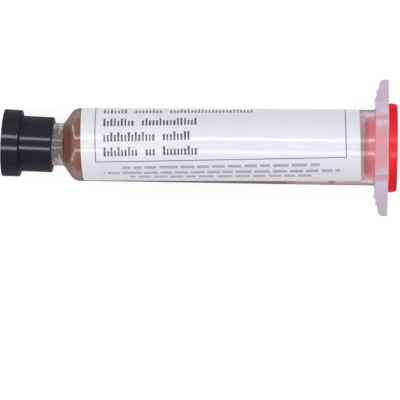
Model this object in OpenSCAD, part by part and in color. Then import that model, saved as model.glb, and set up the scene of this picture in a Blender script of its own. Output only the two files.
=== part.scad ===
// Flux syringe: a capped dispensing barrel filled with soldering flux.
// The barrel lies along X with its luer tip towards -X and the finger
// wings along Y. The origin is on the barrel's axis, in the front face
// of the finger flange. All lengths are in millimetres.
// Sections are drawn as [radius, x] and turned about the X axis.

/* [Barrel] */
// Bore in which the piston slides
bore_d = 15.8; // [14:0.1:17]
// Wall thickness of the tube next to the flange
wall = 1.2; // [1:0.05:1.6]
// How much smaller the tube's outer radius is at the shoulder, for draft
draft = 0.3; // [0:0.05:0.4]
// Distance from the flange's front face to the foot of the shoulder
tube_len = 75.1; // [55:0.1:110]
// Straight band next to the flange, where a holder grips the tube
band_len = 10; // [6:0.5:14]
// Angle between the shoulder and the axis
shoulder_angle = 55.5; // [45:0.5:65]
// Radius where the shoulder runs into the tube
shoulder_round = 2.4; // [0.5:0.1:3]
// Thickness of the shoulder
shoulder_wall = 1.1; // [0.9:0.05:1.3]
// Bevel on small moulded edges, such as the mouths of the tube and caps
bevel = 0.3; // [0.15:0.05:0.35]

/* [Luer lock tip] */
// Diameter at the small end of the tapered nose
nose_tip_d = 3.95; // [3.9:0.01:4]
// How far the nose stands out of the lock collar
nose_proud = 1.5; // [0.5:0.1:2]
// Passage through the nose
passage_d = 2.2; // [1.2:0.1:2.4]
// Outside diameter of the lock collar
collar_d = 10.36; // [9.9:0.02:10.8]
// Inside diameter of the lock collar, at the root of its thread
collar_root_d = 8; // [7.9:0.02:8.1]
// Length of the lock collar in front of the shoulder
collar_len = 8.9; // [8:0.1:11]
// Thickness of the wall at the bottom of the lock collar
floor_wall = 0.9; // [0.7:0.05:1.2]

/* [Finger flange] */
// Thickness of the flange
flange_t = 3.1; // [2.5:0.1:4]
// How far the two flats stand out past the tube
flat_proud = 1.9; // [1.4:0.1:3]
// Width of each flat
flat_w = 13; // [10:0.5:15]
// How far the wings reach out past the tube
wing_reach = 7.4; // [6:0.1:10]
// Radius of the rounded wing ends
wing_round = 5; // [3:0.5:6]
// Width of the flat front face round the tube, before the wings thin
face_w = 1.8; // [1.4:0.1:2]
// How much thinner the wings are at their ends
wing_thinning = 0.85; // [0.2:0.05:1.2]
// Radius of the wings' front edge at their ends
wing_edge = 1.2; // [0.4:0.1:1.3]
// Height of the two grip ribs on the front of each wing
rib_h = 0.5; // [0.2:0.02:0.6]
// Distance from the tube to the first grip rib
rib_out = 2.6; // [2.4:0.1:2.8]
// Distance between the two grip ribs
rib_pitch = 1.7; // [1.4:0.1:2]

/* [Label] */
// Thickness of the label
label_t = 0.1; // [0.08:0.01:0.2]
// Bare tube between the label and the flange
label_gap = 3.5; // [2:0.1:8]
// Bare tube between the label and the shoulder's rounding
label_front_gap = 1; // [0.8:0.1:4]
// Height above the axis of the label's near edge, at its front end
label_edge_z = 1.6; // [0:0.1:3]
// Side position of the label's far edge, at its front end
label_edge_y = 4.4; // [3.5:0.1:5]
// Slant with which the label was stuck on
label_slant = 2.3; // [0:0.1:2.5]

/* [Filling and piston] */
// Share of the room in the barrel that the flux takes up
fill = 0.895; // [0.3:0.005:1]
// Air left between the piston and the end cap when the barrel is full
air = 1; // [0.5:0.1:2]
// Distance between the front and rear edges of the piston's two lips
piston_len = 11.5; // [10:0.1:14]
// Depth of the waist below the lips
waist_depth = 0.6; // [0.4:0.05:0.9]
// Width of the band with which each lip touches the bore
lip_land = 1.8; // [0.8:0.1:2]
// Radius of the blunt end of the piston's cone
piston_tip_r = 0.9; // [0.5:0.1:1.5]
// How far the base of the piston's cone stays inside the front lip
cone_inset = 1.15; // [0.9:0.05:1.3]
// Wall thickness of the hollow piston
piston_wall = 1.3; // [1:0.1:1.6]
// Gap between a lip and the bore
slide_gap = 0.04; // [0.03:0.01:0.08]
// Gap between other pieces that meet
seat_gap = 0.05; // [0.04:0.01:0.08]

/* [Tip cap] */
// Diameter of the head at its front edge
head_d = 16.5; // [16:0.1:19]
// Length of the head
head_len = 4.45; // [3.5:0.05:6]
// Distance between the head's rear face and the lock collar's front edge
head_ahead = 1.4; // [0.7:0.1:3]
// Wall thickness of the skirt that slides over the lock collar
skirt_wall = 1.3; // [1:0.05:1.6]
// Gap between the skirt and the lock collar where they are closest
skirt_gap = 0.06; // [0.05:0.01:0.15]
// Bare collar left between the skirt's mouth and the shoulder
neck_show = 2.45; // [1.5:0.05:3]
// How far the cap leans in degrees, as it was pushed on a little askew
cap_lean = 2; // [0:0.1:2.2]
// Outside diameter of the post that seals on the nose
post_d = 6.8; // [6.4:0.1:6.9]
// Room between the post's end and the bottom of the lock collar
post_short = 2; // [1:0.1:3]
// Depth of the recess in the front of the head
recess = 1.2; // [0.4:0.1:1.4]
// Width of the head's ring round that recess
recess_ring = 3; // [2:0.1:4]

/* [End cap] */
// How far the rim stays inside the flange's flats
rim_inset = 0.15; // [0.1:0.05:0.6]
// Radius of the rim's front edge
rim_round = 0.55; // [0.2:0.05:0.8]
// Thickness of the rim
rim_t = 2.1; // [1.8:0.05:3.5]
// Depth of the plug, from the flange's rear face
plug_depth = 5.55; // [5:0.05:8]
// Wall thickness of the hollow plug
plug_wall = 1.5; // [1.1:0.1:1.8]
// Gap round the plug, which its sealing bead closes
plug_gap = 0.18; // [0.1:0.02:0.3]

/* [Hidden] */
$fn = 96;

bore_r = bore_d / 2;
band_r = bore_r + wall;
front_r = band_r - draft;
collar_r = collar_d / 2;
root_r = collar_root_d / 2;
passage_r = passage_d / 2;
// How far cuts run past the faces that they open.
past = 1;

// A luer taper widens by 6 mm in diameter for each 100 mm of length.
luer_slope = 0.03;
collar_front = -tube_len - collar_len;
nose_front = collar_front - nose_proud;
function nose_r(x) = nose_tip_d / 2 + luer_slope * (x - nose_front);

// The shoulder would reach the tube's full radius at shoulder_x.
shoulder_tan = tan(shoulder_angle);
shoulder_x = -tube_len + (front_r - collar_r) / shoulder_tan;
draft_angle = atan(draft / (-shoulder_x - band_len));

// Inside the barrel the shoulder's cone starts at cone_x on the bore
// and runs parallel to the outside, down to the passage.
cone_shift = shoulder_wall / sin(shoulder_angle);
cone_x = -tube_len + cone_shift + (bore_r - collar_r) / shoulder_tan;
passage_x = cone_x - (bore_r - passage_r) / shoulder_tan;
collar_floor = cone_x - (bore_r - nose_r(-tube_len)) / shoulder_tan - floor_wall;

flat_z = band_r + flat_proud;
wing_y = band_r + wing_reach;
face_y = band_r + face_w;
thin_y = wing_y - wing_edge;
rib_y = band_r + rib_out;

plug_nose = flange_t - plug_depth;
lip_r = bore_r - slide_gap;
room = plug_nose - air - piston_len - cone_x;
piston_x = cone_x + fill * room;
piston_rear = piston_x + piston_len;
piston_cone = (lip_r - piston_tip_r) / shoulder_tan;

// The tip cap leans about cap_seat, halfway along the nose in its post.
// Its bores are wide enough for that, so nothing cuts into the collar.
cap_mouth = -tube_len - neck_show;
head_rear = collar_front - head_ahead;
head_front = head_rear - head_len;
post_end = collar_floor - post_short;
cap_seat = (post_end + nose_front) / 2;
lean = tan(cap_lean);
cap_floor = collar_front - seat_gap - lean * collar_r;
skirt_in = collar_r + skirt_gap + lean * (cap_mouth - cap_seat);
skirt_r = skirt_in + skirt_wall;
post_gap = seat_gap + lean * (post_end - cap_seat);

// Turns a section drawn as [radius, x] about the X axis.
module turned(section) {
    rotate([0, 90, 0])
        rotate_extrude()
            polygon(section);
}

// Points of an arc about [r, x], from one angle to another.
function arc(r, x, radius, from, to, n = 5) =
    [for (i = [0:n])
        let (a = from + (to - from) * i / n)
        [r + radius * cos(a), x + radius * sin(a)]];

// The outer corner between the shoulder's cone and the drafted tube,
// rounded with a radius that touches both.
function shoulder_corner(radius, n = 6) =
    let (a = shoulder_angle,
         d = draft_angle,
         t = radius * tan((a - d) / 2),
         start_x = shoulder_x - t * cos(a),
         start_r = front_r - t * sin(a),
         mid_x = start_x + radius * sin(a),
         mid_r = start_r - radius * cos(a))
    [for (i = [0:n])
        let (b = a + (d - a) * i / n)
        [mid_r + radius * cos(b), mid_x - radius * sin(b)]];

// The tube's outer radius at x, with its draft and its straight band.
function tube_r(x) = x > -band_len ? band_r
    : band_r - (-band_len - x) * tan(draft_angle);

// Barrel: one moulding of tube, shoulder, luer lock and flange.
// The outside section goes round the nose and the hollow lock collar.
function barrel_outside() = concat(
    [[0, nose_front],
     [nose_tip_d / 2 - bevel / 2, nose_front],
     [nose_r(nose_front + bevel), nose_front + bevel],
     [nose_r(collar_floor), collar_floor],
     [root_r, collar_floor],
     [root_r, collar_front + bevel],
     [root_r + bevel, collar_front],
     [collar_r - bevel, collar_front],
     [collar_r, collar_front + bevel],
     [collar_r, -tube_len]],
    shoulder_corner(shoulder_round),
    [[band_r, -band_len],
     [band_r, flange_t / 2],
     [0, flange_t / 2]]);

function barrel_inside() = [
    [0, nose_front - past],
    [passage_r, nose_front - past],
    [passage_r, passage_x],
    [bore_r, cone_x],
    [bore_r, flange_t - bevel],
    [bore_r + bevel, flange_t],
    [bore_r + bevel + past, flange_t + past],
    [0, flange_t + past]];

// Outline of the flange in the YZ plane: two flats, and wings whose
// straight flanks run tangent into the rounded ends.
function wing_outline(s) =
    let (c = wing_y - wing_round,
         dy = flat_w / 2 - c,
         reach = norm([dy, flat_z]),
         a = atan2(flat_z, dy) - acos(wing_round / reach))
    [for (i = [0:16])
        let (b = a - 2 * a * i / 16)
        [s * (c + wing_round * cos(b)), s * wing_round * sin(b)]];

module flange_outline() {
    polygon(concat(
        [[flat_w / 2, flat_z]], wing_outline(1), [[flat_w / 2, -flat_z]],
        [[-flat_w / 2, -flat_z]], wing_outline(-1), [[-flat_w / 2, flat_z]]));
}

// Side profile of one wing as [x, y], with s its side: a flat front
// face that thins towards the end and runs round the front edge. The
// rear edge is nearly sharp.
function wing_profile(s) = concat(
    [[flange_t, 0],
     [flange_t, s * (wing_y - bevel / 2)],
     [flange_t - bevel / 2, s * wing_y]],
    [for (a = [90:-22.5:0])
        [wing_thinning + wing_edge * (1 - cos(a)),
         s * (thin_y + wing_edge * sin(a))]],
    [[0, s * face_y],
     [0, 0]]);

// Where the wing's front surface lies at a distance y from the axis.
function wing_front(y) = wing_thinning * (y - face_y) / (thin_y - face_y);

module wing_side(s) {
    sunk = rib_h / 5;
    linear_extrude(height = 4 * flat_z, center = true)
        polygon(wing_profile(s));
    // grip ribs, sunk rods along Z
    for (y = [rib_y, rib_y + rib_pitch])
        translate([wing_front(y) + sunk, s * y, 0])
            cylinder(r = rib_h + sunk, h = 4 * flat_z, center = true);
}

// Two points of the flange's bevelled edge in the XZ plane. The first
// side is -1 in front and 1 behind, the second -1 below and 1 above.
function edge_of(side, up) =
    let (x = side < 0 ? 0 : flange_t,
         on_flat = [x - side * bevel, up * flat_z],
         past_face = [x + side * past, up * (flat_z - bevel - past)])
    side * up > 0 ? [past_face, on_flat] : [on_flat, past_face];

module flange() {
    intersection() {
        translate([-past, 0, 0])
            rotate([90, 0, 90])
                linear_extrude(height = flange_t + 2 * past)
                    flange_outline();
        union() {
            wing_side(1);
            wing_side(-1);
        }
        // softened long edges of the two flats
        rotate([90, 0, 0])
            linear_extrude(height = 4 * wing_y, center = true)
                polygon([for (p = [[-1, -1], [1, -1], [1, 1], [-1, 1]])
                    each edge_of(p[0], p[1])]);
    }
}

module barrel() {
    color([0.86, 0.83, 0.88, 0.6])
        difference() {
            union() {
                turned(barrel_outside());
                flange();
            }
            turned(barrel_inside());
        }
}

// Label: a sheet wrapped round two thirds of the tube. It is a thin
// shell on the tube, cut off square at both ends and open below.
label_front = shoulder_corner(shoulder_round)[6][1] + label_front_gap;
label_rear = -label_gap;

// A block far larger than the syringe. It fills one side of a plane
// through the origin: x < 0, y < 0 or z < 0 where that side is named.
module half_space(side) {
    size = 3 * (tube_len + 2 * band_r);
    translate([for (i = [0:2]) side[i] < 0 ? -size : side[i] > 0 ? 0 : -size / 2])
        cube(size);
}

module label_shell() {
    spare = label_front_gap / 2;
    front = label_front - spare;
    rear = label_rear + spare;
    turned([
        [tube_r(front), front],
        [band_r, -band_len],
        [band_r, rear],
        [band_r + label_t, rear],
        [band_r + label_t, -band_len],
        [tube_r(front) + label_t, front]]);
}

module label() {
    color([0.92, 0.92, 0.94])
        difference() {
            label_shell();
            translate([label_front, 0, 0])
                rotate([0, 0, label_slant])
                    half_space([-1, 0, 0]);
            translate([label_rear, 0, 0])
                rotate([0, 0, label_slant])
                    half_space([1, 0, 0]);
            intersection() {
                translate([label_front, 0, label_edge_z])
                    rotate([0, -label_slant, 0])
                        half_space([0, 0, -1]);
                translate([label_front, label_edge_y, 0])
                    rotate([0, 0, -label_slant])
                        half_space([0, -1, 0]);
            }
        }
}

// Flux: fills the bore from the nose's mouth to the piston.
module flux() {
    bore_fill = bore_r - seat_gap;
    passage_fill = passage_r - seat_gap;
    rear_x = piston_x - 2 * seat_gap;
    color([0.42, 0.24, 0.19])
        turned([
            [0, nose_front + seat_gap],
            [passage_fill, nose_front + seat_gap],
            [passage_fill, passage_x],
            [bore_fill, cone_x + seat_gap / shoulder_tan],
            [bore_fill, rear_x],
            [piston_tip_r, rear_x - piston_cone],
            [0, rear_x - piston_cone]]);
}

// Piston: hollow, with a wiping lip at each end and a cone in front
// that is parallel to the inside of the shoulder.
module piston() {
    set_back = 0.15;
    groove = 0.3;
    flank = 0.5;
    hollow_draft = 0.2;
    waist = lip_r - waist_depth;
    tip_x = piston_x - piston_cone + set_back;
    base_r = lip_r - cone_inset;
    base_x = tip_x + (base_r - piston_tip_r) / shoulder_tan;
    in_r = waist - piston_wall;
    in_tip = tip_x + piston_wall / sin(shoulder_angle);
    color([0.72, 0.16, 0.16])
        turned([
            [0, tip_x],
            [piston_tip_r, tip_x],
            [base_r, base_x],
            // groove that leaves the front lip free to spread
            [base_r - groove, piston_x + 1.5 * groove],
            [lip_r - set_back, piston_x],
            [lip_r, piston_x + set_back],
            [lip_r, piston_x + lip_land],
            [waist, piston_x + lip_land + flank],
            [waist, piston_rear - lip_land - flank],
            [lip_r, piston_rear - lip_land],
            [lip_r, piston_rear - set_back],
            [lip_r - set_back, piston_rear],
            // hollow, open to the rear
            [in_r + bevel, piston_rear],
            [in_r, piston_rear - bevel],
            [in_r - hollow_draft, piston_x + lip_land],
            [piston_tip_r, in_tip],
            [0, in_tip]]);
}

// Tip cap: a skirt over the lock collar, and inside it a post that
// seals on the nose. Its section is drawn straight, and then leans.
module tip_cap() {
    post_r = post_d / 2;
    head_r = head_d / 2;
    head_draft = 0.12;
    bore_end = nose_front - 4 * seat_gap;
    color([0.13, 0.13, 0.17])
        translate([cap_seat, 0, 0])
        rotate([0, 0, -cap_lean])
        translate([-cap_seat, 0, 0])
        turned(concat(
            // recess in the front of the head
            [[0, head_front + recess],
             [head_r - recess_ring - bevel, head_front + recess],
             [head_r - recess_ring, head_front]],
            arc(head_r - bevel / 2, head_front + bevel / 2, bevel / 2, -90, 0),
            arc(head_r - head_draft - bevel, head_rear - bevel, bevel, 0, 90, 3),
            // skirt, outside then inside
            [[skirt_r + head_draft / 2, head_rear],
             [skirt_r, cap_mouth - bevel],
             [skirt_r - bevel, cap_mouth],
             [skirt_in + bevel, cap_mouth],
             [skirt_in, cap_mouth - bevel],
             [skirt_in, cap_floor],
             // post, outside then its tapered bore
             [post_r, cap_floor],
             [post_r - seat_gap, post_end - bevel],
             [post_r - bevel, post_end],
             [nose_r(post_end) + post_gap + bevel, post_end],
             [nose_r(post_end - bevel) + post_gap, post_end - bevel],
             [nose_r(bore_end) + post_gap, bore_end],
             [0, bore_end]]));
}

// End cap: a rim against the flange, and a hollow plug with a rounded
// nose and a sealing bead in the bore.
module end_cap() {
    rim_r = flat_z - rim_inset;
    rim_front = flange_t + seat_gap;
    rim_rear = rim_front + rim_t;
    rim_draft = 0.35;
    plug_r = bore_r - plug_gap;
    in_r = plug_r - plug_wall;
    nose_len = 1.9;
    nose_round = 0.9;
    bead_w = 0.4;
    bead_x = plug_nose + nose_len + bead_w;
    color([0.87, 0.13, 0.15])
        turned(concat(
            // rounded nose, a quarter of an ellipse
            [[0, plug_nose]],
            [for (a = [0:18:90])
                [plug_r - nose_round * (1 - sin(a)), plug_nose + nose_len * (1 - cos(a))]],
            // sealing bead
            [[lip_r, bead_x],
             [lip_r, bead_x + bead_w],
             [plug_r, bead_x + 2 * bead_w],
             [plug_r, rim_front]],
            arc(rim_r - rim_round, rim_front + rim_round, rim_round, -90, 0),
            arc(rim_r - rim_draft - bevel, rim_rear - bevel, bevel, 0, 90, 3),
            // hollow, open to the rear
            [[in_r + 1.5 * bevel, rim_rear],
             [in_r + 0.5 * bevel, rim_rear - bevel],
             [in_r, plug_nose + plug_wall + bevel],
             [in_r - bevel, plug_nose + plug_wall],
             [0, plug_nose + plug_wall]]));
}

barrel();
label();
flux();
piston();
tip_cap();
end_cap();
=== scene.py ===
import math

import bmesh
import bpy
from mathutils import Matrix, Vector


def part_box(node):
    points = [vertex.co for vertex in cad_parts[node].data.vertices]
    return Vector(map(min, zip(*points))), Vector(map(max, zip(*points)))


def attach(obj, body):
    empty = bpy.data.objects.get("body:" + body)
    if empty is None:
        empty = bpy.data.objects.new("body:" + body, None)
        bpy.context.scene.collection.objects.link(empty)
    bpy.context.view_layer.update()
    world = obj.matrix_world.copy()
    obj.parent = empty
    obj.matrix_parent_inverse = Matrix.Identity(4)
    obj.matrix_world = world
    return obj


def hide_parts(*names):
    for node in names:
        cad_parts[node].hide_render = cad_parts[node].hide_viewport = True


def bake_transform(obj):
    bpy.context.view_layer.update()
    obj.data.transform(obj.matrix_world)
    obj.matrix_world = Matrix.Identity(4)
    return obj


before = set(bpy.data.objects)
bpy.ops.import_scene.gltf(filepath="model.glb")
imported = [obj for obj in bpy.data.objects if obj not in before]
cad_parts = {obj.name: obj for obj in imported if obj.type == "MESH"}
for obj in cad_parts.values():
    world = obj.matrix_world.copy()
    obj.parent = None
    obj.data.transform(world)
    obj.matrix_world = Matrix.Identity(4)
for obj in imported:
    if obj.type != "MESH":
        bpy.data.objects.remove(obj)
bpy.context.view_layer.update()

# Capped flux syringe, lying on its finger flange as it does on a bench.
# The barrel runs along X with its luer tip towards -X. Places along the
# barrel are x, distances from its axis are radii, both in metres.

MM = 0.001
# Facets round a turned form
SIDES = 144
# Places this close together count as one
NEAR = 0.01 * MM
# A cut goes through the corners this close to it, in metres
CUT_NEAR = 1e-7

# Places that the frame gives
barrel_low, barrel_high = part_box("barrel")
plug_low, plug_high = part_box("end_cap")
piston_low, piston_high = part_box("piston")
nose_front = barrel_low.x
flange_rear = barrel_high.x
wing_end = barrel_high.y
flat_z = barrel_high.z

# Barrel
piston_front = -20.93 * MM
bore_r = 7.9 * MM
band_r = 9.1 * MM
front_r = 8.8 * MM
band_x = -10 * MM
shoulder_foot = -75.1 * MM
shoulder_angle = math.radians(55.5)
shoulder_slope = math.tan(shoulder_angle)
shoulder_wall = 1.1 * MM
collar_r = 5.18 * MM
collar_root_r = 4.0 * MM
collar_front = -84.0 * MM
collar_floor_wall = 0.9 * MM
nose_tip_r = 1.975 * MM
nose_slope = 0.03
passage_r = 1.1 * MM
thread_crest_r = 3.55 * MM
thread_lead = 5 * MM
thread_turns = 1.25
fillet = 0.42 * MM
shoulder_rounding = 1.25 * MM
foot_rounding = 0.35 * MM
edge_rounding = 0.25 * MM
bore_rounding = 0.3 * MM
collar_bevel = 0.3 * MM
nose_bevel = 0.12 * MM

shoulder_x = shoulder_foot + (front_r - collar_r) / shoulder_slope
cone_shift = shoulder_wall / math.sin(shoulder_angle)
cone_x = shoulder_foot + cone_shift + (bore_r - collar_r) / shoulder_slope
passage_x = cone_x - (bore_r - passage_r) / shoulder_slope
tip_rear = shoulder_foot - 0.1 * MM


def nose_r(x):
    """Radius of the tapered nose at x."""
    return nose_tip_r + nose_slope * (x - nose_front)


collar_floor = cone_x - (bore_r - nose_r(shoulder_foot)) / shoulder_slope - collar_floor_wall


def tube_r(x):
    """Outer radius of the drafted tube at x."""
    share = (band_x - x) / (band_x - shoulder_x)
    return band_r - (band_r - front_r) * min(max(share, 0), 1)


# Finger flange
flat_half = 6.5 * MM
wing_corner_z = 2.28 * MM
face_y = 10.9 * MM
wing_thinning = 0.85 * MM
wing_edge = 1.2 * MM
thin_y = wing_end - wing_edge
rib_places = (11.7 * MM, 13.4 * MM)
rib_height = 0.4 * MM
rib_sunk = 0.1 * MM
rib_r = rib_height + rib_sunk
flange_rounding = 0.14 * MM
# Sideways from the axis, the flange gets hazier from the first place to the second
hazier_from = 3 * MM
hazier_to = 14 * MM


# Modelling helpers

def deselect():
    bpy.ops.object.select_all(action="DESELECT")


def take(piece):
    """Makes a piece the only one that is selected, and the active one."""
    deselect()
    piece.select_set(True)
    bpy.context.view_layer.objects.active = piece


def open_mesh(piece):
    """Opens a piece in edit mode with nothing selected."""
    take(piece)
    bpy.ops.object.mode_set(mode="EDIT")
    bpy.ops.mesh.select_all(action="DESELECT")


def close_mesh():
    bpy.ops.object.mode_set(mode="OBJECT")


def pick(kind, wanted):
    """Selects the faces, edges or verts of the open mesh for which wanted(element) is true."""
    mesh = bpy.context.edit_object.data
    bpy.ops.mesh.select_mode(type={"faces": "FACE", "edges": "EDGE", "verts": "VERT"}[kind])
    bpy.ops.mesh.select_all(action="DESELECT")
    shape = bmesh.from_edit_mesh(mesh)
    for element in getattr(shape, kind):
        if wanted(element):
            element.select_set(True)
    bmesh.update_edit_mesh(mesh)


def middle(element):
    """Middle of an edge or a face."""
    points = [corner.co for corner in element.verts]
    return sum(points, Vector()) / len(points)


def apply_modifier(piece, kind, **settings):
    """Adds a modifier to a piece, with its settings, and applies it."""
    take(piece)
    modifier = piece.modifiers.new(kind.lower(), kind)
    for name, value in settings.items():
        setattr(modifier, name, value)
    bpy.ops.object.modifier_apply(modifier=modifier.name)


def join_solid(piece, other, operation="UNION"):
    """Welds another solid onto a piece, or cuts it out, and removes it."""
    apply_modifier(piece, "BOOLEAN", object=other, operation=operation, solver="EXACT")
    bpy.data.objects.remove(other)


def close_holes():
    """Puts faces into the holes of the mesh that is open."""
    pick("edges", lambda edge: edge.is_boundary)
    bpy.ops.mesh.fill_holes(sides=0)


def face_outward():
    """Turns the normals of the mesh that is open outward, and leaves all of it selected."""
    bpy.ops.mesh.select_all(action="SELECT")
    bpy.ops.mesh.normals_make_consistent(inside=False)


def clean(piece):
    """Clears up after booleans: merges corners that all but touch, closes the holes that
    this leaves, and takes out corners with an edge to either side and nothing else."""
    touching = 0.002 * MM
    sliver = 0.001 * MM
    open_mesh(piece)
    bpy.ops.mesh.select_all(action="SELECT")
    bpy.ops.mesh.remove_doubles(threshold=touching)
    bpy.ops.mesh.dissolve_degenerate(threshold=sliver)
    close_holes()
    pick("verts", lambda corner: len(corner.link_edges) == 2)
    bpy.ops.mesh.dissolve_verts()
    close_mesh()


def smooth(piece, sharp_from=32):
    """Shades a piece smooth apart from its sharp edges, and keeps its flat faces flat. An
    edge is sharp from that many degrees on."""
    take(piece)
    bpy.ops.object.shade_smooth_by_angle(angle=math.radians(sharp_from))
    apply_modifier(piece, "WEIGHTED_NORMAL", keep_sharp=True)


def turn(name, stations):
    """Turns a form about the X axis from stations (x, radius, rounding of that corner).

    A ring starts at the first station and is extruded to each next one, and discs close
    the ends. A rounding may be left out."""
    x, radius = stations[0][:2]
    deselect()
    bpy.ops.mesh.primitive_circle_add(
        vertices=SIDES, radius=radius, location=(x, 0, 0), rotation=(0, math.pi / 2, 0))
    piece = bpy.context.object
    piece.name = name
    bpy.ops.object.transform_apply()
    open_mesh(piece)
    bpy.ops.mesh.select_all(action="SELECT")
    for next_x, next_radius, *_ in stations[1:]:
        bpy.ops.mesh.extrude_region_move(TRANSFORM_OT_translate={"value": (next_x - x, 0, 0)})
        scale = next_radius / radius
        bpy.ops.transform.resize(value=(1, scale, scale), center_override=(next_x, 0, 0))
        x, radius = next_x, next_radius
    close_holes()
    face_outward()
    round_rings(stations)
    close_mesh()
    return piece


def round_rings(stations):
    """Bevels the ring of edges at each station that states a rounding. A wide rounding gets
    more facets."""
    wide = 1 * MM
    for x, radius, *rounding in stations:
        if not rounding:
            continue

        def on_ring(edge):
            return all(
                abs(corner.co.x - x) < NEAR
                and abs(math.hypot(corner.co.y, corner.co.z) - radius) < NEAR
                for corner in edge.verts)

        pick("edges", on_ring)
        segments = 8 if rounding[0] > wide else 4
        bpy.ops.mesh.bevel(offset=rounding[0], segments=segments, affect="EDGES")


def finish_piece(piece, body, slot, material, *nodes):
    """Gives a piece its material and body, and hides the CAD nodes that it stands for. Its slot
    is not used.
    """
    piece.data.materials.append(material)
    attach(piece, body)
    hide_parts(*nodes)


# Shader helpers

def set_inputs(tree, node, inputs):
    """Sets a node's inputs to values, and links sockets to them."""
    for name, value in inputs.items():
        if isinstance(value, bpy.types.NodeSocket):
            tree.links.new(value, node.inputs[name])
        else:
            node.inputs[name].default_value = value


def put(tree, kind, inputs=None, **settings):
    """Adds a node with its inputs, which are values or sockets, and its settings."""
    node = tree.nodes.new("ShaderNode" + kind)
    for name, value in settings.items():
        setattr(node, name, value)
    set_inputs(tree, node, inputs or {})
    return node


def maths(tree, operation, *values):
    """Adds a step of arithmetic and returns its result."""
    return put(tree, "Math", dict(enumerate(values)), operation=operation).outputs[0]


def new_group(name, inputs, outputs):
    """Starts a node group with named inputs and outputs, and returns it with both ends."""
    tree = bpy.data.node_groups.new(name, "ShaderNodeTree")
    for label, kind, value in inputs:
        socket = tree.interface.new_socket(
            label, in_out="INPUT", socket_type="NodeSocket" + kind)
        if value is not None:
            socket.default_value = value
    for label, kind in outputs:
        tree.interface.new_socket(label, in_out="OUTPUT", socket_type="NodeSocket" + kind)
    start = tree.nodes.new("NodeGroupInput").outputs
    end = tree.nodes.new("NodeGroupOutput").inputs
    return tree, start, end


def place_group(tree, group, inputs):
    """Places a node group in a tree and returns its outputs."""
    node = tree.nodes.new("ShaderNodeGroup")
    node.node_tree = group
    set_inputs(tree, node, inputs)
    return node.outputs


def new_material(name):
    """Starts a material without nodes, and returns it with its tree."""
    material = bpy.data.materials.new(name)
    material.use_nodes = True
    material.node_tree.nodes.clear()
    return material, material.node_tree


def colour_drift_group():
    """A colour that wanders a little between two shades, as pigment does in a moulding."""
    tree, start, end = new_group(
        "colour drift",
        [("Colour", "Color", (0.5, 0.5, 0.5, 1)), ("Second colour", "Color", (0.4, 0.4, 0.4, 1)),
         ("Scale", "Float", 100), ("Amount", "Float", 0.5)],
        [("Colour", "Color")])
    place = put(tree, "TexCoord").outputs["Object"]
    clouds = put(tree, "TexNoise", {
        "Vector": place, "Scale": start["Scale"], "Detail": 3, "Roughness": 0.55}).outputs["Fac"]
    spread = put(tree, "MapRange", {
        "Value": clouds, "From Min": 0.35, "From Max": 0.65,
        "To Min": 0, "To Max": start["Amount"]}).outputs["Result"]
    mixed = put(tree, "Mix", {
        "Factor": spread, 6: start["Colour"], 7: start["Second colour"]}, data_type="RGBA")
    tree.links.new(mixed.outputs[2], end["Colour"])
    return tree


def moulded_skin_group():
    """Roughness and height of a moulded surface: fine grain, and soft waves under it."""
    tree, start, end = new_group(
        "moulded skin",
        [("Roughness", "Float", 0.3), ("Unevenness", "Float", 0.05),
         ("Grain", "Float", 3000), ("Waves", "Float", 250)],
        [("Roughness", "Float"), ("Height", "Float")])
    place = put(tree, "TexCoord").outputs["Object"]
    grain = put(tree, "TexNoise", {"Vector": place, "Scale": start["Grain"], "Detail": 2})
    waves = put(tree, "TexNoise", {"Vector": place, "Scale": start["Waves"], "Detail": 1})
    uneven = maths(tree, "SUBTRACT", waves.outputs["Fac"], 0.5)
    uneven = maths(tree, "MULTIPLY_ADD", uneven, start["Unevenness"], start["Roughness"])
    tree.links.new(uneven, end["Roughness"])
    height = maths(tree, "MULTIPLY_ADD", waves.outputs["Fac"], 3.0, grain.outputs["Fac"])
    tree.links.new(height, end["Height"])
    return tree


colour_drift = colour_drift_group()
moulded_skin = moulded_skin_group()


def bump(tree, height, distance):
    return put(tree, "Bump", {"Height": height, "Distance": distance}).outputs[0]


def glancing(tree, start, full, most):
    """A share that grows as a surface turns away from the eye: 0 up to the turn start, and
    most from the turn full on. A turn is 0 face on and 1 edge on. Only gloss and haze
    follow it."""
    turned_away = put(tree, "LayerWeight", {"Blend": 0.5}).outputs["Facing"]
    return put(tree, "MapRange", {
        "Value": turned_away, "From Min": start, "From Max": full,
        "To Min": 0, "To Max": most}, interpolation_type="SMOOTHSTEP").outputs["Result"]


def moulded_plastic(name, colour, second, roughness, ior=1.5, waviness=0.003 * MM,
                    edge_sheen_colour=None):
    """An opaque moulded plastic with a drifting colour and a fine moulded skin, which turns matt
    at a glancing angle. Given an edge sheen colour, it takes that colour there instead: the
    black cap's is lighter than its body, a painted sheen at its edges."""
    material, tree = new_material(name)
    skin = place_group(tree, moulded_skin, {"Roughness": roughness, "Unevenness": 0.08})
    shade = place_group(tree, colour_drift, {
        "Colour": (*colour, 1), "Second colour": (*second, 1),
        "Scale": 150, "Amount": 0.6})
    shader = put(tree, "BsdfPrincipled", {
        "Base Color": shade["Colour"], "Roughness": skin["Roughness"], "IOR": ior,
        "Normal": bump(tree, skin["Height"], waviness)})
    # at a glancing angle the gloss gives way to a plain colour; where that is lighter than the
    # body it is a painted sheen
    matt_or_sheen = put(tree, "BsdfDiffuse", {
        "Color": (*edge_sheen_colour, 1) if edge_sheen_colour else shade["Colour"]})
    dulled = glancing(tree, start=0.05, full=0.28, most=0.85)
    mixed = put(tree, "MixShader", {0: dulled, 1: shader.outputs[0], 2: matt_or_sheen.outputs[0]})
    put(tree, "OutputMaterial", {"Surface": mixed.outputs[0]})
    return material


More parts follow.
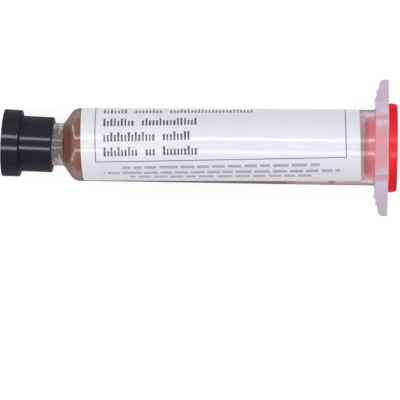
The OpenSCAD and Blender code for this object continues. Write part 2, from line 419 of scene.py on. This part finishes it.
def cloudy_plastic(name, colour, second, clearness, roughness, haze, haze_colour=None,
                   depth_haze=None):
    """The barrel's translucent plastic. Seen at a glancing angle, through more of it, it
    looks hazy, by haze at most. The flange is also hazy by its depth: depth_haze says how
    much it is at least, in front of the bore, and how much out in its wings."""
    waviness = 0.0006 * MM
    material, tree = new_material(name)
    skin = place_group(tree, moulded_skin, {"Roughness": roughness, "Unevenness": 0.08})
    shade = place_group(tree, colour_drift, {
        "Colour": (*colour, 1), "Second colour": (*second, 1), "Scale": 120, "Amount": 0.8})
    shader = put(tree, "BsdfPrincipled", {
        "Base Color": shade["Colour"], "Roughness": skin["Roughness"], "IOR": 1.49,
        "Transmission Weight": clearness, "Normal": bump(tree, skin["Height"], waviness)})
    cloud = put(tree, "BsdfDiffuse", {
        "Color": (*haze_colour, 1) if haze_colour else shade["Colour"]})
    veil = glancing(tree, start=0.4, full=0.85, most=haze)
    if depth_haze:
        place = put(tree, "SeparateXYZ", {0: put(tree, "TexCoord").outputs["Object"]}).outputs
        deep = put(tree, "MapRange", {
            "Value": maths(tree, "ABSOLUTE", place["Y"]),
            "From Min": hazier_from, "From Max": hazier_to,
            "To Min": depth_haze[0], "To Max": depth_haze[1]}).outputs["Result"]
        veil = maths(tree, "MAXIMUM", veil, deep)
    hazy = put(tree, "MixShader", {0: veil, 1: shader.outputs[0], 2: cloud.outputs[0]})
    # its shadow is faint, so that light reaches what is inside and the bench
    passing = put(tree, "BsdfTransparent", {"Color": (0.94, 0.92, 0.935, 1)})
    shadow = put(tree, "LightPath").outputs["Is Shadow Ray"]
    mixed = put(tree, "MixShader", {0: shadow, 1: hazy.outputs[0], 2: passing.outputs[0]})
    put(tree, "OutputMaterial", {"Surface": mixed.outputs[0]})
    return material


# Barrel

def barrel_tube():
    """Outside of the barrel as a solid: nose in its hollow lock collar, shoulder and tube."""
    return turn("barrel_moulding", [
        (nose_front, nose_tip_r - nose_bevel),
        (nose_front + 0.2 * MM, nose_r(nose_front + 0.2 * MM)),
        (collar_floor, nose_r(collar_floor), edge_rounding),
        (collar_floor, collar_root_r, edge_rounding),
        (collar_front + collar_bevel, collar_root_r),
        (collar_front, collar_root_r + collar_bevel),
        (collar_front, collar_r - 0.01 * MM, edge_rounding),
        (shoulder_foot, collar_r, foot_rounding),
        (shoulder_x, front_r, shoulder_rounding),
        (piston_front, tube_r(piston_front)),
        (band_x, band_r),
        (plug_low.x, band_r),
        # fillet in front of the flange, which hides its end
        (-0.4 * MM, band_r),
        (-0.12 * MM, band_r + 0.12 * MM),
        (0.02 * MM, band_r + fillet),
        (flange_rear / 2, band_r + fillet)])


def barrel_bore():
    """What is cut out of the barrel: bore, cone and the passage through the nose. It flares
    past both ends of the barrel, which bevels the edges of both openings."""
    return turn("bore", [
        (nose_front - 1 * MM, passage_r + 1 * MM),
        (nose_front + 0.1 * MM, passage_r),
        (passage_x, passage_r, bore_rounding),
        (cone_x, bore_r, bore_rounding),
        (piston_front, bore_r),
        (flange_rear - 0.3 * MM, bore_r),
        (flange_rear + 1 * MM, bore_r + 1.3 * MM)])


def thread_ridge(start_angle):
    """One of the two ridges of the double thread inside the lock collar."""
    front = collar_front + 1.2 * MM
    bury = 0.15 * MM
    half_base = 0.62 * MM
    half_crest = 0.3 * MM
    thread_steps = 60
    deselect()
    bpy.ops.mesh.primitive_circle_add(vertices=4, radius=1 * MM)
    ridge = bpy.context.object
    ridge.name = "thread_ridge"
    places = [(-half_base, collar_root_r + bury), (half_base, collar_root_r + bury),
              (half_crest, thread_crest_r), (-half_crest, thread_crest_r)]
    for corner, (x, radius) in zip(ridge.data.vertices, places):
        corner.co = (front + x, 0, radius)
    apply_modifier(ridge, "SCREW", axis="X", angle=thread_turns * 2 * math.pi,
                   screw_offset=thread_turns * thread_lead, steps=thread_steps,
                   render_steps=thread_steps, use_merge_vertices=False)
    open_mesh(ridge)
    close_holes()
    face_outward()
    bpy.ops.transform.rotate(value=start_angle, orient_axis="X", center_override=(0, 0, 0))
    close_mesh()
    return ridge


def wing_front(y):
    """x of a wing's front at a distance y from the axis. The wing thins outward, carries two
    round ribs that are a little sunk in, and is rounded at its end."""
    y = abs(y)

    def thinned(place):
        return wing_thinning * max(0, place - face_y) / (thin_y - face_y)

    if y > thin_y:
        share = min((y - thin_y) / wing_edge, 1)
        return wing_thinning + wing_edge * (1 - math.sqrt(1 - share * share))
    x = thinned(y)
    for rib in rib_places:
        if abs(y - rib) < rib_r:
            x = min(x, thinned(rib) + rib_sunk - math.sqrt(rib_r ** 2 - (y - rib) ** 2))
    return x


def flange_block():
    """Finger flange: a block with two flats, drawn out into two thinning, ribbed wings."""
    deselect()
    bpy.ops.mesh.primitive_cube_add(size=1, location=(flange_rear / 2, 0, 0),
                                    scale=(flange_rear, 2 * flat_half, 2 * flat_z))
    flange = bpy.context.object
    flange.name = "flange"
    bpy.ops.object.transform_apply()
    open_mesh(flange)
    # both wings, each drawn out from the block's end
    for side in (-1, 1):
        pick("faces", lambda face: face.normal.y * side > 0.9)
        reach = side * (wing_end - flat_half)
        bpy.ops.mesh.extrude_region_move(TRANSFORM_OT_translate={"value": (0, reach, 0)})
        bpy.ops.transform.resize(value=(1, 1, wing_corner_z / flat_z),
                                 center_override=(0, side * wing_end, 0))
    # round wing ends, with roundings that all but meet
    pick("edges", lambda edge: abs(abs(middle(edge).y) - wing_end) < NEAR
         and abs(abs(middle(edge).z) - wing_corner_z) < NEAR)
    bpy.ops.mesh.bevel(offset=0.995 * wing_corner_z, segments=10, affect="EDGES")
    # cuts where the front bends, closer together where it is steep
    cuts = [face_y]
    for rib in rib_places:
        cuts += [rib + share * rib_r
                 for share in (-0.99, -0.87, -0.6, -0.3, 0, 0.3, 0.6, 0.87, 0.99)]
    cuts += [thin_y + share * wing_edge for share in (0, 0.35, 0.65, 0.87, 0.97)]
    for cut in cuts:
        for side in (-1, 1):
            bpy.ops.mesh.select_all(action="SELECT")
            bpy.ops.mesh.bisect(
                plane_co=(0, side * cut, 0), plane_no=(0, 1, 0), threshold=CUT_NEAR)
    shape = bmesh.from_edit_mesh(flange.data)
    for corner in shape.verts:
        if corner.co.x < NEAR:
            corner.co.x = wing_front(corner.co.y)
    bmesh.update_edit_mesh(flange.data)
    close_mesh()
    apply_modifier(flange, "BEVEL", width=flange_rounding, segments=2, limit_method="ANGLE",
                   angle_limit=math.radians(50))
    return flange


# How the barrel's one plastic looks from place to place: clearest where the filling wets
# its wall, and cloudier with air behind it, in the thick flange and in the tip. Some rows
# carry painted light and shade: the wall over the plug is coloured lighter and pinker, a
# painted glow from the red plug; the wetted cone is coloured darker, as painted shade; and
# the tip is coloured a darker grey, painted shade on top of its cloudiness. A row has
# its two colours, clearness, roughness and haze, and further values by name.
plastics = {
    "wetted plastic": (
        (0.90, 0.76, 0.68), (0.84, 0.70, 0.62), 0.945, 0.10, 0.92,
        {"haze_colour": (0.22, 0.14, 0.145)}),
    "wall plastic": (
        (0.76, 0.61, 0.66), (0.71, 0.56, 0.61), 0.93, 0.17, 0.85,
        {"haze_colour": (0.34, 0.26, 0.28)}),
    "flange plastic": (
        (0.83, 0.745, 0.85), (0.78, 0.70, 0.81), 0.87, 0.35, 0.4,
        {"depth_haze": (0.2, 0.44)}),
    # painted shade: the tip is coloured a darker grey than the rest of the plastic, standing in
    # for the neck lying in shade; it is also cloudier
    "tip plastic in painted shade": (
        (0.53, 0.44, 0.45), (0.48, 0.40, 0.41), 0.74, 0.13, 0.6, {}),
    # painted glow: this wall is coloured lighter and pinker than the wall plastic, standing in
    # for the plug's red light that fills it
    "wall plastic with painted plug glow": (
        (0.99, 0.85, 0.98), (0.95, 0.81, 0.94), 0.9, 0.17, 0.95,
        {"haze_colour": (0.31, 0.25, 0.265)}),
    # painted shade: the cone's wall is coloured darker than the wetted wall, standing in for the
    # flux behind it getting less light
    "wetted plastic with painted cone shade": (
        (0.46, 0.40, 0.36), (0.42, 0.36, 0.33), 1.0, 0.10, 0.92,
        {"haze_colour": (0.22, 0.14, 0.145)})}


def plastic_at(place):
    """Which of the plastics the barrel shows at a place on its surface."""
    if place.x > -NEAR or abs(place.y) > face_y:
        return "flange plastic"
    # the wall over the plug, with its painted glow
    if place.x > plug_low.x:
        return "wall plastic with painted plug glow"
    if place.x > piston_front:
        return "wall plastic"
    if place.x >= shoulder_x:
        return "wetted plastic"
    # the wetted cone, with its painted shade
    if place.x >= tip_rear:
        return "wetted plastic with painted cone shade"
    # the tip, with its painted shade
    return "tip plastic in painted shade"


def make_barrel():
    """One moulding. The thread is joined to it last, because that leaves tiny holes, and
    they are closed straight after."""
    barrel = barrel_tube()
    join_solid(barrel, flange_block())
    join_solid(barrel, barrel_bore(), "DIFFERENCE")
    for start_angle in (0, math.pi):
        join_solid(barrel, thread_ridge(start_angle))
    clean(barrel)
    smooth(barrel)
    materials = [cloudy_plastic(name, *row, **named)
                 for name, (*row, named) in plastics.items()]
    finish_piece(barrel, "barrel", "barrel", materials[0], "barrel")
    for material in materials[1:]:
        barrel.data.materials.append(material)
    names = list(plastics)
    for face in barrel.data.polygons:
        face.material_index = names.index(plastic_at(face.center))


# Label: a sheet, wrapped round the tube and stuck on a little askew

sheet_length = 66.85 * MM
sheet_width = 35.45 * MM
sheet_slant = math.radians(1.85)
sheet_front = -70.08 * MM
sheet_start = -11.82 * MM
sheet_corner = 0.8 * MM
sheet_thickness = 0.1 * MM
sheet_gap = 0.01 * MM
# Parts that the sheet has along the tube and round it, so that it bends
sheet_parts = (24, 90)


def on_tube(along, across):
    """Where a point of the flat sheet lands on the tube, given along and across from the
    sheet's near front corner."""
    x = sheet_front + along * math.cos(sheet_slant) - across * math.sin(sheet_slant)
    round_tube = sheet_start + along * math.sin(sheet_slant) + across * math.cos(sheet_slant)
    radius = tube_r(x) + sheet_gap
    turned = round_tube / radius
    return Vector((x, radius * math.sin(turned), radius * math.cos(turned)))


def make_label():
    """The sheet, bent round the tube, with its flat place kept as the map for its print."""
    deselect()
    bpy.ops.mesh.primitive_plane_add(size=1, location=(sheet_length / 2, sheet_width / 2, 0))
    sheet = bpy.context.object
    sheet.name = "label_sheet"
    sheet.scale = (sheet_length, sheet_width, 1)
    bpy.ops.object.transform_apply()
    open_mesh(sheet)
    bpy.ops.mesh.select_all(action="SELECT")
    bpy.ops.mesh.bevel(offset=sheet_corner, segments=5, affect="VERTICES")
    for across, size in enumerate((sheet_length, sheet_width)):
        parts = sheet_parts[across]
        for step in range(1, parts):
            place = [0, 0, 0]
            place[across] = size * step / parts
            bpy.ops.mesh.select_all(action="SELECT")
            bpy.ops.mesh.bisect(
                plane_co=place, plane_no=(1 - across, across, 0), threshold=CUT_NEAR)
    close_mesh()
    flat = sheet.data.uv_layers.new(name="flat sheet")
    for corner in sheet.data.loops:
        place = sheet.data.vertices[corner.vertex_index].co
        flat.data[corner.index].uv = (place.x / sheet_length, place.y / sheet_width)
    for vertex in sheet.data.vertices:
        vertex.co = on_tube(vertex.co.x, vertex.co.y)
    sheet.data.materials.append(printed_paper())
    sheet.data.materials.append(paper_back())
    apply_modifier(sheet, "SOLIDIFY", thickness=sheet_thickness, offset=1,
                   material_offset=1, material_offset_rim=1)
    smooth(sheet, sharp_from=50)
    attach(sheet, "barrel")
    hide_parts("label")


def field_group():
    """A printed rectangle: 1 inside its four borders, which are in millimetres."""
    tree, start, end = new_group(
        "printed field",
        [("Along", "Float", None), ("Across", "Float", None), ("Left", "Float", 0),
         ("Right", "Float", 10), ("Low", "Float", 0), ("High", "Float", 10)],
        [("Mask", "Float")])
    inside = maths(tree, "GREATER_THAN", start["Along"], start["Left"])
    for operation, value, border in (("LESS_THAN", "Along", "Right"),
                                     ("GREATER_THAN", "Across", "Low"),
                                     ("LESS_THAN", "Across", "High")):
        within = maths(tree, operation, start[value], start[border])
        inside = maths(tree, "MULTIPLY", inside, within)
    tree.links.new(inside, end["Mask"])
    return tree


def bars_group():
    """A printed row of plain upright bars in uneven widths and two heights. It takes the
    place of a line of print, and says nothing. Number counts the bars from its left end."""
    tree, start, end = new_group(
        "row of bars",
        [("Along", "Float", None), ("Across", "Float", None), ("Left", "Float", 0),
         ("Bars", "Float", 10), ("Low", "Float", 0), ("Height", "Float", 2),
         ("Pitch", "Float", 1.6), ("Seed", "Float", 0)],
        [("Mask", "Float"), ("Number", "Float")])
    cells = maths(tree, "DIVIDE", maths(tree, "SUBTRACT", start["Along"], start["Left"]),
                  start["Pitch"])
    number = maths(tree, "FLOOR", cells)
    off_middle = maths(tree, "SUBTRACT", maths(tree, "FRACT", cells), 0.5)
    off_middle = maths(tree, "ABSOLUTE", off_middle)

    def chance(factor):
        """A chance from 0 to 1 for each bar."""
        place = maths(tree, "MULTIPLY_ADD", number, factor, start["Seed"])
        return put(tree, "TexWhiteNoise", {"W": place}, noise_dimensions="1D").outputs["Value"]

    # half a bar takes up from 0.22 to 0.32 of a pitch
    half_width = maths(tree, "MULTIPLY_ADD", chance(2.71), 0.1, 0.22)
    in_width = maths(tree, "LESS_THAN", off_middle, half_width)
    # a third of the bars has the full height, and the others 0.7 of it
    tall = maths(tree, "GREATER_THAN", chance(3.93), 0.66)
    share = maths(tree, "MULTIPLY_ADD", tall, 0.3, 0.7)
    height = maths(tree, "MULTIPLY", start["Height"], share)
    field = place_group(tree, printed_field, {
        "Along": start["Along"], "Across": start["Across"], "Left": start["Left"],
        "Right": maths(tree, "MULTIPLY_ADD", start["Bars"], start["Pitch"], start["Left"]),
        "Low": start["Low"], "High": maths(tree, "ADD", start["Low"], height)})["Mask"]
    tree.links.new(maths(tree, "MULTIPLY", in_width, field), end["Mask"])
    tree.links.new(number, end["Number"])
    return tree


# Where the print lies on the flat sheet, in millimetres from its near front corner. The
# frame is given by its left, right, lower and upper edge. A large row is given by its left
# end, its number of bars, its lower edge and the bars where a gap of two starts. A small row
# is a plain pale strip, given by its left end, its length and its lower edge, and a gap comes
# about once in each run.
frame_edges = (3.35, 63.59, 7.12, 31.05)
frame_line = 0.26
large_rows = ((5.3, 43, 20.3, (7, 17)), (5.3, 27, 16.05, (9,)),
              (5.3, 25, 12.2, (15,)), (5.3, 27, 8.65, (10, 15)))
large_height = 2.2
large_pitch = 0.84
small_rows = ((9.75, 47.3, 5.1), (5.1, 56.7, 3.4), (11.3, 43.7, 1.9))
small_height = 0.8
small_run = 3.9
small_gap = 0.7
# Share of the ink in the strips, and the two inks
small_ink = 0.62
violet_ink = (0.20, 0.17, 0.34, 1)
black_ink = (0.06, 0.055, 0.07, 1)


def printed_paper():
    """White paper with a thin frame, four rows of bars and three pale strips in print."""
    material, tree = new_material("printed paper")
    flat = put(tree, "UVMap", uv_map="flat sheet").outputs[0]
    place = put(tree, "SeparateXYZ", {0: put(tree, "Mapping", {
        "Vector": flat, "Scale": (sheet_length / MM, sheet_width / MM, 1)}).outputs[0]}).outputs
    at = {"Along": place["X"], "Across": place["Y"]}
    left, right, low, high = frame_edges
    outside = place_group(tree, printed_field, {
        **at, "Left": left, "Right": right, "Low": low, "High": high})["Mask"]
    inside = place_group(tree, printed_field, {
        **at, "Left": left + frame_line, "Right": right - frame_line,
        "Low": low + frame_line, "High": high - frame_line})["Mask"]
    ruled = maths(tree, "SUBTRACT", outside, inside)
    violet, black = ruled, 0.0
    for seed, (left, bars, low, gaps) in enumerate(large_rows):
        row = place_group(tree, row_of_bars, {
            **at, "Left": left, "Bars": bars, "Low": low, "Height": large_height,
            "Pitch": large_pitch, "Seed": 3.1 + seed})
        mask = row["Mask"]
        for gap in gaps:
            # 1 at the bar of that number and at the next one
            in_gap = maths(tree, "COMPARE", row["Number"], gap + 0.5, 0.6)
            mask = maths(tree, "MULTIPLY", mask, maths(tree, "SUBTRACT", 1, in_gap))
        black = maths(tree, "MAXIMUM", black, mask)
    for seed, (left, length, low) in enumerate(small_rows):
        strip = place_group(tree, printed_field, {
            **at, "Left": left, "Right": left + length, "Low": low, "High": low + small_height})
        run = maths(tree, "MULTIPLY_ADD", place["X"], 1 / small_run, 2.3 * seed)
        to_gap = put(tree, "TexVoronoi", {"W": run, "Scale": 1, "Randomness": 0.7},
                     voronoi_dimensions="1D", feature="DISTANCE_TO_EDGE").outputs["Distance"]
        mask = maths(tree, "MULTIPLY", strip["Mask"],
                     maths(tree, "GREATER_THAN", to_gap, small_gap / 2 / small_run))
        violet = maths(tree, "MAXIMUM", violet, maths(tree, "MULTIPLY", mask, small_ink))
    paper = place_group(tree, colour_drift, {
        "Colour": (0.77, 0.755, 0.80, 1), "Second colour": (0.73, 0.715, 0.765, 1),
        "Scale": 60, "Amount": 0.7})["Colour"]
    inked = put(tree, "Mix", {"Factor": violet, 6: paper, 7: violet_ink},
                data_type="RGBA").outputs[2]
    inked = put(tree, "Mix", {"Factor": black, 6: inked, 7: black_ink},
                data_type="RGBA").outputs[2]
    finish_paper(tree, inked)
    return material


def paper_back():
    """The sheet's underside and edges, without print."""
    material, tree = new_material("paper back")
    finish_paper(tree, place_group(tree, colour_drift, {
        "Colour": (0.72, 0.71, 0.72, 1), "Second colour": (0.66, 0.65, 0.66, 1),
        "Scale": 200, "Amount": 0.6})["Colour"])
    return material


def finish_paper(tree, colour):
    """Paper of a colour, with a fine coat."""
    skin = place_group(tree, moulded_skin, {
        "Roughness": 0.5, "Unevenness": 0.1, "Grain": 5000, "Waves": 400})
    shader = put(tree, "BsdfPrincipled", {
        "Base Color": colour, "Roughness": skin["Roughness"], "IOR": 1.5,
        "Coat Weight": 0.7, "Coat Roughness": 0.11,
        "Normal": bump(tree, skin["Height"], 0.003 * MM)})
    put(tree, "OutputMaterial", {"Surface": shader.outputs[0]})


printed_field = field_group()
row_of_bars = bars_group()


# Filling and piston

piston_rear = piston_high.x
piston_tip_r = 0.9 * MM
lip_r = piston_high.z
wet = 0.03 * MM


def make_flux():
    """The filling. It wets the wall, so it reaches into it by wet. Its front is a little hollow
    in the middle and keeps its place, and its rear stops just short of the piston."""
    gap = 0.1 * MM
    rear = piston_front - gap
    tip = piston_low.x - gap
    flux = turn("flux_column", [
        (nose_front + 0.3 * MM, 0.3 * MM),
        (nose_front + 0.12 * MM, passage_r * 0.8),
        (nose_front + 0.3 * MM, passage_r + wet),
        (passage_x, passage_r + wet, bore_rounding),
        (cone_x - wet, bore_r + wet, bore_rounding),
        (rear, bore_r + wet),
        (tip, piston_tip_r)])
    smooth(flux)
    flux.data.materials.append(amber_paste())
    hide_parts("flux")
    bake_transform(flux)


def amber_paste():
    """The filling: a smooth amber brown paste with faint swirls in its colour."""
    material, tree = new_material("amber paste")
    skin = place_group(tree, moulded_skin, {
        "Roughness": 0.35, "Unevenness": 0.15, "Grain": 1500, "Waves": 300})
    shade = place_group(tree, colour_drift, {
        "Colour": (0.235, 0.078, 0.041, 1), "Second colour": (0.175, 0.056, 0.029, 1),
        "Scale": 130, "Amount": 0.9})
    shader = put(tree, "BsdfPrincipled", {
        "Base Color": shade["Colour"], "Roughness": skin["Roughness"], "IOR": 1.5,
        "Normal": bump(tree, skin["Height"], 0.01 * MM)})
    put(tree, "OutputMaterial", {"Surface": shader.outputs[0]})
    return material


def make_piston():
    """Hollow piston with a cone in front and a waist between two lips on lands. The lips
    press into the wall by wet."""
    waist_r = lip_r - 0.6 * MM
    base_r = lip_r - 1.15 * MM
    pressed_r = bore_r + wet
    tip = piston_low.x
    base_x = tip + (base_r - piston_tip_r) / shoulder_slope
    land = 1.8 * MM
    flank = 0.5 * MM
    wall = 1.3 * MM
    set_back = 0.15 * MM
    hollow_r = waist_r - wall
    hollow_tip = tip + wall / math.sin(shoulder_angle)
    moulding = turn("piston_moulding", [
        (tip, piston_tip_r, 0.3 * MM),
        (base_x, base_r, 0.2 * MM),
        (piston_front + 0.45 * MM, base_r - 0.3 * MM, 0.15 * MM),
        (piston_front, lip_r - set_back),
        (piston_front + set_back, pressed_r),
        (piston_front + land, pressed_r, 0.12 * MM),
        (piston_front + land + flank, waist_r, 0.2 * MM),
        (piston_rear - land - flank, waist_r, 0.2 * MM),
        (piston_rear - land, pressed_r, 0.12 * MM),
        (piston_rear - set_back, pressed_r),
        (piston_rear, lip_r - set_back),
        (piston_rear, hollow_r, 0.2 * MM),
        (piston_front + land, hollow_r - 0.2 * MM, 0.5 * MM),
        (hollow_tip, piston_tip_r, 0.3 * MM)])
    smooth(moulding)
    finish_piece(moulding, "piston", "piston", moulded_plastic(
        "piston red", (0.55, 0.035, 0.04), (0.46, 0.026, 0.03), 0.4), "piston")


# Caps

def make_tip_cap():
    """Black cap. Its skirt goes over the lock collar and its post over the nose, and it was
    pushed on a little askew, so it is turned about the middle of that fit."""
    lean = math.radians(2)
    seat = 0.05 * MM
    mouth = shoulder_foot - 2.75 * MM
    post_end = collar_floor - 2 * MM
    pivot = (post_end + nose_front) / 2
    head_r = 8.17 * MM
    head_rear = collar_front - 1.6 * MM
    head_front = head_rear - 4.25 * MM
    draft = 0.12 * MM
    recess = 1.2 * MM
    ring = 3 * MM
    skirt_in = collar_r + 0.06 * MM + math.tan(lean) * (mouth - pivot)
    skirt_out = skirt_in + 1.3 * MM
    skirt_floor = collar_front - seat - math.tan(lean) * collar_r
    post_r = 3.4 * MM
    post_gap = seat + math.tan(lean) * (post_end - pivot)
    bore_end = nose_front - 4 * seat
    cap = turn("tip_cap_moulding", [
        (head_front + recess - 0.25 * MM, 0.45 * MM, 0.1 * MM),
        (head_front + recess, 0.6 * MM, 0.1 * MM),
        (head_front + recess, head_r - ring - 0.1 * MM, 0.25 * MM),
        (head_front, head_r - ring, 0.3 * MM),
        (head_front, head_r, 0.15 * MM),
        (head_rear, head_r - draft, 0.3 * MM),
        (head_rear, skirt_out + draft / 2, 0.2 * MM),
        (mouth, skirt_out, 0.25 * MM),
        (mouth, skirt_in, 0.25 * MM),
        (skirt_floor, skirt_in, 0.2 * MM),
        (skirt_floor, post_r, 0.2 * MM),
        (post_end, post_r - seat, 0.25 * MM),
        (post_end, nose_r(post_end) + post_gap, 0.25 * MM),
        (bore_end, nose_r(bore_end) + post_gap, 0.2 * MM)])
    open_mesh(cap)
    bpy.ops.mesh.select_all(action="SELECT")
    bpy.ops.transform.rotate(value=lean, orient_axis="Z", center_override=(pivot, 0, 0))
    close_mesh()
    smooth(cap)
    # its edges get a lighter grey, a painted sheen in place of their reflection
    finish_piece(cap, "tip_cap", "tip_cap", moulded_plastic(
        "tip cap black", (0.005, 0.005, 0.010), (0.003, 0.003, 0.007), 0.16, ior=1.58,
        waviness=0.0015 * MM, edge_sheen_colour=(0.020, 0.020, 0.030)), "tip_cap")


def make_end_cap():
    """Red cap. Its rim lies behind the flange, and its hollow plug has a round nose and a
    bead that holds it in the bore."""
    nose = plug_low.x
    rear = plug_high.x
    rim_r = plug_high.z
    rim_front = flange_rear + 0.05 * MM
    plug_r = bore_r - 0.18 * MM
    wall = 1.5 * MM
    nose_length = 1.9 * MM
    nose_rounding = 1.7 * MM
    nose_flat_r = plug_r - 1.9 * MM
    bead = nose + nose_length + 0.45 * MM
    bead_width = 0.4 * MM
    bead_r = bore_r - 0.04 * MM
    draft = 0.35 * MM
    hollow_r = plug_r - wall
    steps = 6
    rounded_nose = []
    for step in range(1, steps + 1):
        angle = step / steps * math.pi / 2
        rounded_nose.append((nose + nose_length * (1 - math.cos(angle)),
                             plug_r - nose_rounding * (1 - math.sin(angle))))
    cap = turn("end_cap_moulding", [
        (nose, nose_flat_r),
        *rounded_nose,
        (bead, bead_r),
        (bead + bead_width, bead_r),
        (bead + 2 * bead_width, plug_r),
        (rim_front, plug_r, 0.15 * MM),
        (rim_front, rim_r, 0.55 * MM),
        (rear, rim_r - draft, 0.3 * MM),
        (rear, hollow_r, 0.35 * MM),
        (nose + wall, hollow_r, 0.4 * MM),
        (nose + wall, 0.7 * MM, 0.1 * MM),
        (nose + wall + 0.25 * MM, 0.55 * MM, 0.1 * MM)])
    smooth(cap)
    finish_piece(cap, "end_cap", "end_cap", moulded_plastic(
        "end cap red", (0.86, 0.018, 0.025), (0.77, 0.013, 0.019), 0.26, ior=1.42), "end_cap")


# Camera, bench and lights

def make_camera():
    """Camera high above the syringe's rear half, as in the photograph. It is aimed beside
    the middle of the syringe, which leaves the syringe in the picture's upper half."""
    stand = Vector((-9.5, -13.1, 700)) * MM
    aim = Vector((-42.1, -13.1, 0)) * MM
    roll = math.radians(0.69)
    data = bpy.data.cameras.new("camera")
    data.sensor_width = 36
    data.lens = 260.8
    data.clip_end = 10
    camera = bpy.data.objects.new("camera", data)
    bpy.context.collection.objects.link(camera)
    forward = (aim - stand).normalized()
    right = Vector((math.cos(roll), math.sin(roll), 0))
    right = (right - right.dot(forward) * forward).normalized()
    up = right.cross(forward)
    turned = Matrix((right, up, -forward)).transposed()
    camera.matrix_world = Matrix.Translation(stand) @ turned.to_4x4()
    bpy.context.scene.camera = camera


def make_floor():
    """A plain bench under the two places that the syringe rests on: the flange's flat and
    the tube's front end. Seen, mirrored or looked at through plastic it glows, so that it
    comes out white, and its glow lights nothing else."""
    glow_power = 0.69
    rise = (flat_z - front_r) / -shoulder_x
    deselect()
    bpy.ops.mesh.primitive_plane_add(size=6, location=(0, 0, -flat_z),
                                     rotation=(0, math.atan(rise), 0))
    floor = bpy.context.object
    floor.name = "floor"
    material, tree = new_material("white bench")
    plain = put(tree, "BsdfDiffuse", {"Color": (0.45, 0.45, 0.45, 1)})
    glow = put(tree, "Emission", {"Color": (1, 1, 1, 1)})
    path = put(tree, "LightPath").outputs
    seen = maths(tree, "MAXIMUM", path["Is Camera Ray"], path["Is Glossy Ray"])
    seen = maths(tree, "MAXIMUM", seen, path["Is Transmission Ray"])
    tree.links.new(maths(tree, "MULTIPLY", seen, glow_power), glow.inputs["Strength"])
    both = put(tree, "AddShader", {0: plain.outputs[0], 1: glow.outputs[0]})
    put(tree, "OutputMaterial", {"Surface": both.outputs[0]})
    floor.data.materials.append(material)


def make_strip(name, start, end, width, power):
    """A long narrow soft light between two places in millimetres, which faces the syringe."""
    syringe_middle = Vector((-42 * MM, 0, 0))
    start, end = Vector(start) * MM, Vector(end) * MM
    place = (start + end) / 2
    data = bpy.data.lights.new(name, "AREA")
    data.shape = "RECTANGLE"
    data.size = (end - start).length
    data.size_y = width * MM
    data.energy = power
    data.color = (0.97, 0.975, 1.0)
    strip = bpy.data.objects.new(name, data)
    bpy.context.collection.objects.link(strip)
    length = (end - start).normalized()
    back = place - syringe_middle
    back = (back - back.dot(length) * length).normalized()
    turned = Matrix((length, back.cross(length), back)).transposed()
    strip.matrix_world = Matrix.Translation(place) @ turned.to_4x4()
    strip.visible_camera = False
    return strip


def make_world():
    """Even light from all round, a little stronger from the far side."""
    world = bpy.data.worlds.new("studio")
    world.use_nodes = True
    tree = world.node_tree
    tree.nodes.clear()
    way = put(tree, "SeparateXYZ", {0: put(tree, "TexCoord").outputs["Generated"]}).outputs
    around = maths(tree, "MULTIPLY_ADD", way["Y"], 0.1, 0.35)
    back = put(tree, "Background", {"Color": (1, 1, 1, 1), "Strength": around})
    put(tree, "OutputWorld", {"Surface": back.outputs[0]})
    bpy.context.scene.world = world


def make_lights():
    """A long strip at each side, which gives the syringe a streak of light, with a post from
    its front end down to the bench, and a wide soft light that shows in no gloss."""
    height = 563
    left = -450
    right = 400
    for side, across in (("far", 209), ("near", -196)):
        top = (left, across, height)
        make_strip("strip_" + side, top, (right, across, height), width=90, power=1.2)
        make_strip("post_" + side, top, (left, 1.4 * across, 0), width=80, power=0.9)
    fill = make_strip("soft_fill", (-500, -300, 850), (420, -300, 850), width=900, power=1.05)
    fill.visible_glossy = False


make_barrel()
make_label()
make_flux()
make_piston()
make_tip_cap()
make_end_cap()
make_camera()
make_floor()
make_lights()
make_world()
bpy.context.scene.view_settings.view_transform = "Standard"
